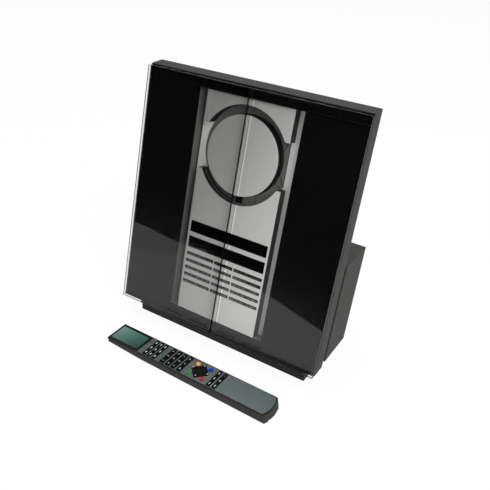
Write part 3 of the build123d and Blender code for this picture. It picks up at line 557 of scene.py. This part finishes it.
# The disc platform with the laser's slot, and the drive behind it: steel plate, ground rods,
# screw and motors, on rubber bushes.
coat(moulded("platform_plastic", linear(14, 14, 14), linear(21, 21, 21), 0.4), "disc_platform")
plated_steel = metal("plated_steel", (0.58, 0.57, 0.54, 1), 0.36, (1, 1, 1), 260.0)
coat(plated_steel, "drive_chassis", "spindle_motor", "sled_motor", "door_motor")
ground_steel = metal("ground_steel", (0.75, 0.75, 0.74, 1), 0.16, (1, 0.05, 0.05), 900.0)
coat(ground_steel, "guide_rods", "sled_screw")
coat(pad_rubber, "suspension_bushes")
sled_plastic = moulded("sled_plastic", linear(34, 34, 36), linear(46, 46, 48), 0.4)
coat(sled_plastic, "laser_sled")
turntable_plastic = moulded("turntable_plastic", linear(28, 28, 30), linear(38, 38, 40), 0.3)
coat(turntable_plastic, "turntable")


# The two glass doors: toughened clear glass with ground and polished edges. The runners glued
# behind them are black nylon, and the pinion between their racks is black acetal.
def door_glass(name, tint, lamp_tint):
    """Glass that bends and mirrors light, and lets lamp light through to what it covers."""
    made, place = finish(name, {"Transmission Weight": 1.0, "IOR": 1.5, "Base Color": tint})
    feed(made, {"Roughness": noise(place, 14.0, 3.0) * 0.012})
    clear = place.add("BsdfTransparent", {}, {"Color": lamp_tint})
    path = place.add("LightPath", {}, {}, "Is Shadow Ray") + place.add(
        "LightPath", {}, {}, "Is Diffuse Ray")
    glass = Wire(place.tree, place.tree.nodes["Principled BSDF"].outputs[0])
    surface(place.add("MixShader", {}, {0: path.above(0.5), 1: glass, 2: clear}))
    return made


# The left pane is tinted darker than the right, for sight and for lamp light alike: painted shade
# over all that lies behind it.
coat(door_glass("left_door_glass", (0.80, 0.81, 0.80, 1), (0.9, 0.9, 0.89, 1)), "left_glass")
coat(door_glass("right_door_glass", (0.93, 0.94, 0.93, 1), (0.94, 0.94, 0.93, 1)), "right_glass")
runner_nylon = moulded("runner_nylon", linear(8, 8, 8), linear(12, 12, 12), 0.5, shine=0.2)
coat(runner_nylon, "left_runners", "right_runners")
coat(moulded("pinion_acetal", linear(9, 9, 9), linear(13, 13, 13), 0.5, shine=0.2), "drive_pinion")


# A soft black seal fills the seam. It is pushed onto the left door's inner edge, and its lip lies
# over that edge.
seal_rubber = moulded("seal_rubber", linear(5, 5, 5), linear(8, 8, 8), 0.7, 2500.0, 0.00005, 0.05)
seal_foot, seal_top = 0.6, 342.7
bars("door_seal", [((-0.02, seal_foot), (-0.02, seal_top))], 0.7, -3.9, -0.1, on_slope,
     seal_rubber, "left_door", "rubber")
bars("door_seal_lip", [((-0.4, seal_foot), (-0.4, seal_top))], 1.4, 0.03, 0.2, on_slope,
     seal_rubber, "left_door", "rubber")


# The fifteen bar keys: glossy black caps that stand through slots in the lower panel, each on its
# own spring. Small grey marks are printed on them in a row, smaller in the two upper rows.
key_plastic = moulded("key_plastic", linear(12, 12, 12), linear(17, 17, 17), 0.22, 1500.0, 0.000008)
key_names = [f"{column}_key_{row}" for row in range(1, 6) for column in ("left", "middle", "right")]
coat(key_plastic, *key_names)
key_print = moulded("key_print", linear(118, 118, 116), linear(138, 138, 136), 0.5, 1500.0,
                    0.00001)
key_face, top_row, row_pitch, print_thick = -7.0, 102.45, 10.47, 0.03
mark_heights = (0.6, 0.6, 1.1, 1.1, 1.1)
key_marks = {"left": [(-57, -53), (-50, -47), (-41, -36.5), (-30, -27.5), (-24, -20)],
             "middle": [(-11, -8.5), (-4, 0.5), (4.5, 7), (9, 11.5)],
             "right": [(20, 24.5), (28, 30.5), (35, 39), (46, 48), (51, 57)]}
for row, mark_height in enumerate(mark_heights):
    middle = top_row - row * row_pitch
    for column, spans in key_marks.items():
        key = f"{column}_key_{row + 1}"
        bars(key + "_marks", [((low, middle), (high, middle)) for low, high in spans],
             mark_height, key_face, key_face + print_thick, on_slope, key_print, key + "_body",
             "key_plastic")


# The remote control: a long case with a thin screen end, moulded in a warm dark grey with a
# spark-eroded grain, and black at its upper rim. Its top plate is blue-grey anodised aluminium,
# with black rubber keys in it.
remote_corner, remote_turn = (-0.13018, -0.11749), radians(-1.18)
remote_low, remote_rise, rim_depth = 0.010, 4 / 262.6, 0.0022


def remote_axes(place):
    """Wires for the distance along the remote control and across it, in metres."""
    moved = place.add("VectorMath", {"operation": "SUBTRACT"}, {0: place, 1: (*remote_corner, 0)})
    turned = place.add("VectorRotate", {"rotation_type": "Z_AXIS"},
                       {"Vector": moved, "Angle": -remote_turn})
    return [place.add("SeparateXYZ", {}, {0: turned}, axis) for axis in (0, 1)]


case_plastic, place = finish("case_plastic", {"Specular IOR Level": 0.35})
along, across = remote_axes(place)
height = place.add("SeparateXYZ", {}, {0: place}, 2)
in_rim = (height - along * remote_rise).above(remote_low - rim_depth)
grain, cloud = noise(place, 1400.0), noise(place, 35.0, 4.0)
case_grey = between(cloud, linear(48, 47, 45), linear(60, 58, 56))
rim_black = between(cloud, linear(14, 14, 14), linear(19, 19, 19))
feed(case_plastic, {"Base Color": between(in_rim, case_grey, rim_black),
                    "Roughness": 0.55 + grain * 0.1 - in_rim * 0.15,
                    "Normal": bump(grain, 0.35, 0.0001)})
coat(case_plastic, "remote_case", "remote_battery_door")
plate_metal = metal("plate_metal", (0.215, 0.26, 0.262, 1), 0.45, (0.03, 1, 1), 1200.0, 0.00001,
                    0.9)
coat(plate_metal, "remote_plate")
key_rubber = moulded("key_rubber", linear(6, 6, 6), linear(10, 10, 10), 0.5, 1200.0, 0.00003, 0.15)
coat(key_rubber, "remote_upper_keys", "remote_lower_keys", "remote_base_keys", "remote_pad")


# The marks printed on its keys in pale ink: short bars, the figures, and a dot in each corner of
# the cursor pad. The bar of the standby key is red.
def on_remote(points):
    """From millimetres along, across and over the remote control's top, to metres in the room."""
    along, across, over = np.moveaxis(np.asarray(points, float) / 1000, -1, 0)
    return np.stack([remote_corner[0] + along * cos(remote_turn) - across * sin(remote_turn),
                     remote_corner[1] + along * sin(remote_turn) + across * cos(remote_turn),
                     remote_low + remote_rise * along + over], -1)


def figures(name, marks, size, low, thick, place, made, body, slot):
    """Figures set upright across a row: text made a mesh, then placed along and across."""
    corners, faces = [], []
    for text, (along, across) in marks:
        line = bpy.data.objects.new(name + "_line", bpy.data.curves.new(name + "_line", "FONT"))
        line.data.body, line.data.size, line.data.extrude = text, size, thick / 2
        line.data.align_x, line.data.align_y, line.data.resolution_u = "CENTER", "CENTER", 3
        mesh = bpy.data.meshes.new_from_object(line)
        flat, owners = np.empty(3 * len(mesh.vertices)), np.empty(len(mesh.loops), int)
        starts = np.empty(len(mesh.polygons), int)
        mesh.vertices.foreach_get("co", flat)
        mesh.loops.foreach_get("vertex_index", owners)
        mesh.polygons.foreach_get("loop_start", starts)
        flat = flat.reshape(-1, 3)
        faces += [ring.tolist() for ring in np.split(owners + len(corners), starts[1:])]
        corners += np.stack([along - flat[:, 1], across + flat[:, 0], low + thick / 2 + flat[:, 2]],
                            -1).tolist()
        bpy.data.objects.remove(line)
        bpy.data.meshes.remove(mesh)
    return piece(name, place(corners), faces, made, body, slot)


pale_print = moulded("pale_print", linear(225, 225, 220), linear(240, 240, 236), 0.5, 1200.0,
                     0.00001)
red_print = moulded("red_print", linear(170, 30, 26), linear(196, 40, 34), 0.5, 1200.0, 0.00001)
key_proud, key_across = 0.6, (7.37, 18.6, 29.83)
key_blocks = (63.6, 2.9, 8.0, 3), (93.4, 3.8, 9.7, 4), (172.6, 3.2, 8.9, 2)
upper_along, lower_along, base_along = (
    [start + half_key + pitch * row for row in range(rows)]
    for start, half_key, pitch, rows in key_blocks)


def row_marks(name, places, length, width, made, body):
    """Short bars across the keys at some places along and across."""
    ends = [((along, across - length / 2), (along, across + length / 2))
            for along, across in places]
    return bars(name, ends, width, key_proud, key_proud + print_thick, on_remote, made, body,
                "key_rubber")


row_marks("upper_key_marks", [(along, across) for along in upper_along for across in key_across],
          4.2, 1.0, pale_print, "remote_upper_set")
row_marks("lower_key_marks", [(lower_along[3], across) for across in key_across[::2]],
          2.6, 1.0, pale_print, "remote_lower_set")
row_marks("base_key_marks", [(base_along[0], across) for across in key_across]
          + [(base_along[1], across) for across in key_across[:2]], 3.6, 1.0, pale_print,
          "remote_base_set")
row_marks("standby_mark", [(base_along[1], key_across[2])], 2.2, 1.3, red_print,
          "remote_base_set")
row_marks("pad_marks", [(139.4, 20.2), (151.2, 30.7), (163.4, 19.8), (151.5, 8.7)], 1.4, 1.4,
          pale_print, "remote_pad_set")
digits = [(str(3 * row + column + 1), (lower_along[row], key_across[column]))
          for row in range(3) for column in range(3)] + [("0", (lower_along[3], key_across[1]))]
figures("key_figures", digits, 3.6, key_proud, print_thick, on_remote, pale_print,
        "remote_lower_set", "key_rubber")


# Its screen: grey-green liquid crystal under a window with a black frame, set into the thin end of
# the case. The screen is pale grey-green at the end of the case and along one long edge, and dark
# green towards the keys and the other edge: painted light and shade.
screen_low, screen_high, screen_near, screen_far = 0.0032, 0.0508, 0.0048, 0.0328
screen, place = finish("screen", {"Specular IOR Level": 0.5})
along, across = remote_axes(place)
inside = (along.above(screen_low) * along.below(screen_high)
          * across.above(screen_near) * across.below(screen_far))
# Painted light and shade: the screen's colour darkens towards the keys and towards one long edge.
painted_light_fall = (along * (1 / screen_high) + (screen_far - across) * 14.0 + noise(place, 60.0) * 0.15)
tone = place.add("ValToRGB", {"stops": [
    (0.1, linear(104, 138, 131)[:3]), (0.6, linear(56, 98, 86)[:3]),
    (1.0, linear(16, 48, 40)[:3])]}, {"Fac": painted_light_fall * 0.62})
feed(screen, {"Base Color": between(inside, linear(12, 12, 12), tone),
              "Roughness": 0.18 + inside * 0.1 + noise(place, 500.0) * 0.05})
coat(screen, "remote_display")


# The four coloured keys round its cursor pad, moulded in rubber: green and orange on the screen's
# side of the pad, red and blue on the other.
colour_rubber, place = finish("colour_rubber", {"Specular IOR Level": 0.25})
along, across = remote_axes(place)
pad_along, pad_across = 0.1519, 0.0186
far_side = along.above(pad_along)
back_side = across.above(pad_across)
grain = noise(place, 900.0)
front_pair = between(far_side, linear(52, 128, 54), linear(188, 28, 24))
back_pair = between(far_side, linear(244, 156, 66), linear(16, 42, 178))
feed(colour_rubber, {"Base Color": between(back_side, front_pair, back_pair),
                     "Roughness": 0.42 + grain * 0.15, "Normal": bump(grain, 0.3, 0.00003)})
coat(colour_rubber, "remote_colour_keys")


# Its two cells, in plain steel sleeves with drawn lines round them. They lie in the bay that the
# battery door closes.
coat(metal("cell_steel", (0.7, 0.69, 0.66, 1), 0.3, (1, 0.1, 0.1)), "remote_batteries")
